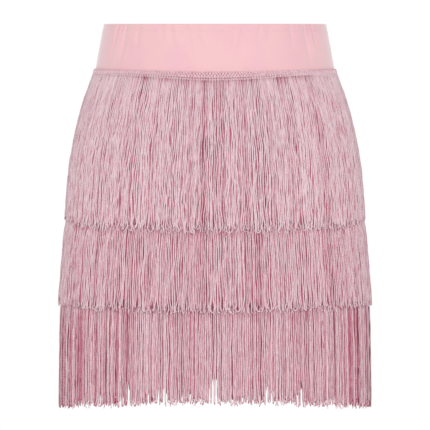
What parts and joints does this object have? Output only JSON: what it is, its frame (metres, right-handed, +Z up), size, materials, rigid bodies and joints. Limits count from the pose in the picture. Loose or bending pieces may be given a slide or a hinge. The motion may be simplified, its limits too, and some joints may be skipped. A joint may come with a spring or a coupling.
{
  "type": "latin dance skirt",
  "caption": "Hip-length hollow skirt: a smooth stretch waistband and a stretch cloth tube that carries overlapping tiers of dense hanging fringe.",
  "frame": {"origin": "centre of the waist, half way down the waistband, where the wearer's waist holds the skirt", "axes": "+Z up out of the waist opening, -Y towards the front, +X towards the side that is on the right in the picture"},
  "size_m": [0.3678, 0.2601, 0.4494],
  "materials": {
    "stretch_jersey": "smooth matt stretch knit, salmon pink",
    "fringe_yarn": "satin twisted rayon yarn, dusty pink"
  },
  "bodies": {
    "root": {"waistband_front": "stretch_jersey", "waistband_back": "stretch_jersey", "skirt_front": "stretch_jersey", "skirt_back": "stretch_jersey", "fringe_upper_front": "fringe_yarn", "fringe_upper_back": "fringe_yarn", "fringe_middle_front": "fringe_yarn", "fringe_middle_back": "fringe_yarn", "fringe_lower_front": "fringe_yarn", "fringe_lower_back": "fringe_yarn"}
  },
  "joints": []
}
